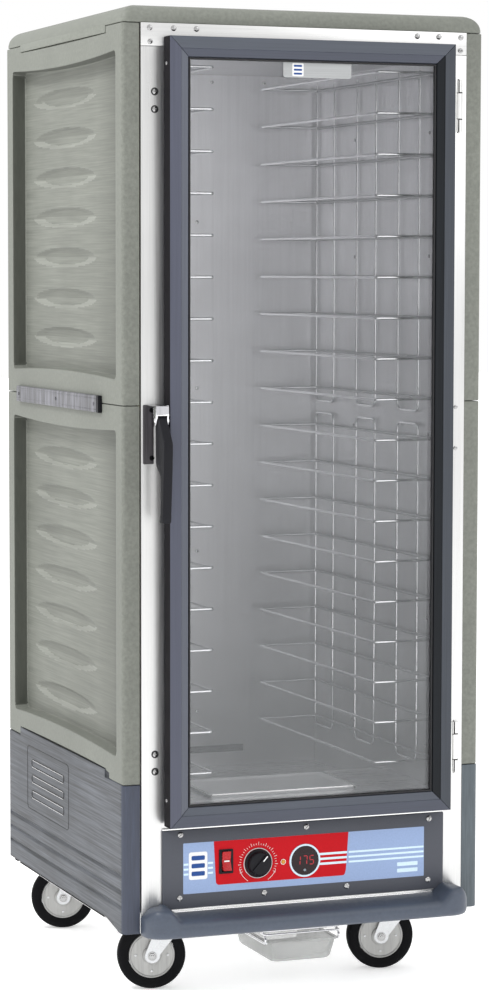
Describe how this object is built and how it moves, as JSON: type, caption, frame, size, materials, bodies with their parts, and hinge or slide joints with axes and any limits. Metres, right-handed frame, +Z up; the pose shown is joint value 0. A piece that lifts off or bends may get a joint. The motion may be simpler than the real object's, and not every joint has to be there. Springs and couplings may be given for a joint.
{
  "type": "insulated food carrier",
  "caption": "Tall insulated heated holding cabinet on casters: moulded side shells, full-height clear hinged door, wire slide racks, base heat module with dial control.",
  "frame": {"origin": "on the floor, under the middle of the overall box", "axes": "+Z up, -Y towards the door (front), +X to the right seen from the front"},
  "size_m": [0.723, 0.819, 1.803],
  "materials": {
    "sage_shell": "moulded polymer, fine brushed grain",
    "slate_moulding": "moulded polymer, satin",
    "charcoal_panel": "fine texture coat",
    "brushed_metal": "brushed",
    "bright_plate": "bright brushed",
    "chrome_wire": "bright plated",
    "zinc_plate": "zinc plated",
    "black_plastic": "satin moulded",
    "red_switch": "gloss",
    "rubber": "matte",
    "clear_sheet": "clear polycarbonate",
    "foam": "rigid closed-cell foam"
  },
  "bodies": {
    "cabinet": {"back_panel": "brushed_metal", "base_shell_left": "slate_moulding", "base_shell_right": "slate_moulding", "blower_motor": "zinc_plate", "bumper": "slate_moulding", "chassis_frame": "zinc_plate", "control_panel": "charcoal_panel", "floor_deck": "brushed_metal", "frame_header": "bright_plate", "frame_stile_left": "bright_plate", "frame_stile_right": "bright_plate", "heater_element": "zinc_plate", "hinge_bracket_lower": "bright_plate", "hinge_bracket_upper": "bright_plate", "insulation_jacket": "foam", "latch_strike": "black_plastic", "lid_shell": "sage_shell", "liner_back": "brushed_metal", "liner_ceiling": "brushed_metal", "liner_left": "brushed_metal", "liner_right": "brushed_metal", "pan_hanger": "chrome_wire", "power_inlet": "black_plastic", "rack_lower_left": "chrome_wire", "rack_lower_right": "chrome_wire", "rack_upper_left": "chrome_wire", "rack_upper_right": "chrome_wire", "seam_strip_left": "brushed_metal", "seam_strip_right": "brushed_metal", "side_shell_lower_left": "sage_shell", "side_shell_lower_right": "sage_shell", "side_shell_upper_left": "sage_shell", "side_shell_upper_right": "sage_shell", "water_pan": "brushed_metal"},
    "door": {"door_stile_left": "slate_moulding", "door_stile_right": "slate_moulding", "door_rail_top": "slate_moulding", "door_rail_bottom": "slate_moulding", "door_pane": "clear_sheet", "door_seal": "rubber", "latch_body": "chrome_wire", "hinge_leaf_upper": "bright_plate", "hinge_leaf_lower": "bright_plate"},
    "latch_lever": {"latch_handle": "black_plastic"},
    "power_rocker": {"rocker_switch": "red_switch"},
    "thermostat": {"thermostat_knob": "black_plastic"},
    "drip_tray": {"drip_pan": "clear_sheet"},
    "blower": {"blower_wheel": "zinc_plate"},
    "caster_front_left_swivel": {"caster_front_left_fork": "zinc_plate"},
    "caster_front_left_wheel": {"caster_front_left_hub": "zinc_plate", "caster_front_left_tyre": "rubber"},
    "caster_front_right_swivel": {"caster_front_right_fork": "zinc_plate"},
    "caster_front_right_wheel": {"caster_front_right_hub": "zinc_plate", "caster_front_right_tyre": "rubber"},
    "caster_rear_left_swivel": {"caster_rear_left_fork": "zinc_plate"},
    "caster_rear_left_wheel": {"caster_rear_left_hub": "zinc_plate", "caster_rear_left_tyre": "rubber"},
    "caster_rear_right_swivel": {"caster_rear_right_fork": "zinc_plate"},
    "caster_rear_right_wheel": {"caster_rear_right_hub": "zinc_plate", "caster_rear_right_tyre": "rubber"}
  },
  "joints": [
    {"name": "door_hinge", "type": "hinge", "parent": "cabinet", "child": "door", "pos_m": [0.293, -0.3445, 1.033], "axis": [0, 0, 1], "range_deg": [0, 170]},
    {"name": "latch_pull", "type": "hinge", "parent": "door", "child": "latch_lever", "pos_m": [-0.299, -0.3695, 1.062], "axis": [-1, 0, 0], "range_deg": [0, 35], "stiffness_Nm_per_rad": 0.6},
    {"name": "power_rocker_tilt", "type": "hinge", "parent": "cabinet", "child": "power_rocker", "pos_m": [-0.1577, -0.3215, 0.247], "axis": [1, 0, 0], "range_deg": [0, 16]},
    {"name": "thermostat_turn", "type": "hinge", "parent": "cabinet", "child": "thermostat", "pos_m": [-0.0945, -0.3235, 0.2394], "axis": [0, 1, 0], "range_deg": [-190, 110]},
    {"name": "drip_pan_slide", "type": "slide", "parent": "cabinet", "child": "drip_tray", "axis": [0, -1, 0], "range_m": [0, 0.16]},
    {"name": "blower_spin", "type": "hinge", "parent": "cabinet", "child": "blower", "pos_m": [0.06, -0.1595, 0.26], "axis": [0, 0, 1], "continuous": true},
    {"name": "caster_front_left_turn", "type": "hinge", "parent": "cabinet", "child": "caster_front_left_swivel", "pos_m": [-0.231, -0.2385, 0.15], "axis": [0, 0, 1], "continuous": true},
    {"name": "caster_front_left_roll", "type": "hinge", "parent": "caster_front_left_swivel", "child": "caster_front_left_wheel", "pos_m": [-0.2701, -0.22875, 0.0635], "axis": [-0.2419, -0.9703, 0], "continuous": true},
    {"name": "caster_front_right_turn", "type": "hinge", "parent": "cabinet", "child": "caster_front_right_swivel", "pos_m": [0.231, -0.2385, 0.15], "axis": [0, 0, 1], "continuous": true},
    {"name": "caster_front_right_roll", "type": "hinge", "parent": "caster_front_right_swivel", "child": "caster_front_right_wheel", "pos_m": [0.1919, -0.22875, 0.0635], "axis": [-0.2419, -0.9703, 0], "continuous": true},
    {"name": "caster_rear_left_turn", "type": "hinge", "parent": "cabinet", "child": "caster_rear_left_swivel", "pos_m": [-0.231, 0.3075, 0.15], "axis": [0, 0, 1], "continuous": true},
    {"name": "caster_rear_left_roll", "type": "hinge", "parent": "caster_rear_left_swivel", "child": "caster_rear_left_wheel", "pos_m": [-0.2701, 0.31725, 0.0635], "axis": [-0.2419, -0.9703, 0], "continuous": true},
    {"name": "caster_rear_right_turn", "type": "hinge", "parent": "cabinet", "child": "caster_rear_right_swivel", "pos_m": [0.231, 0.3075, 0.15], "axis": [0, 0, 1], "continuous": true},
    {"name": "caster_rear_right_roll", "type": "hinge", "parent": "caster_rear_right_swivel", "child": "caster_rear_right_wheel", "pos_m": [0.1919, 0.31725, 0.0635], "axis": [-0.2419, -0.9703, 0], "continuous": true}
  ]
}
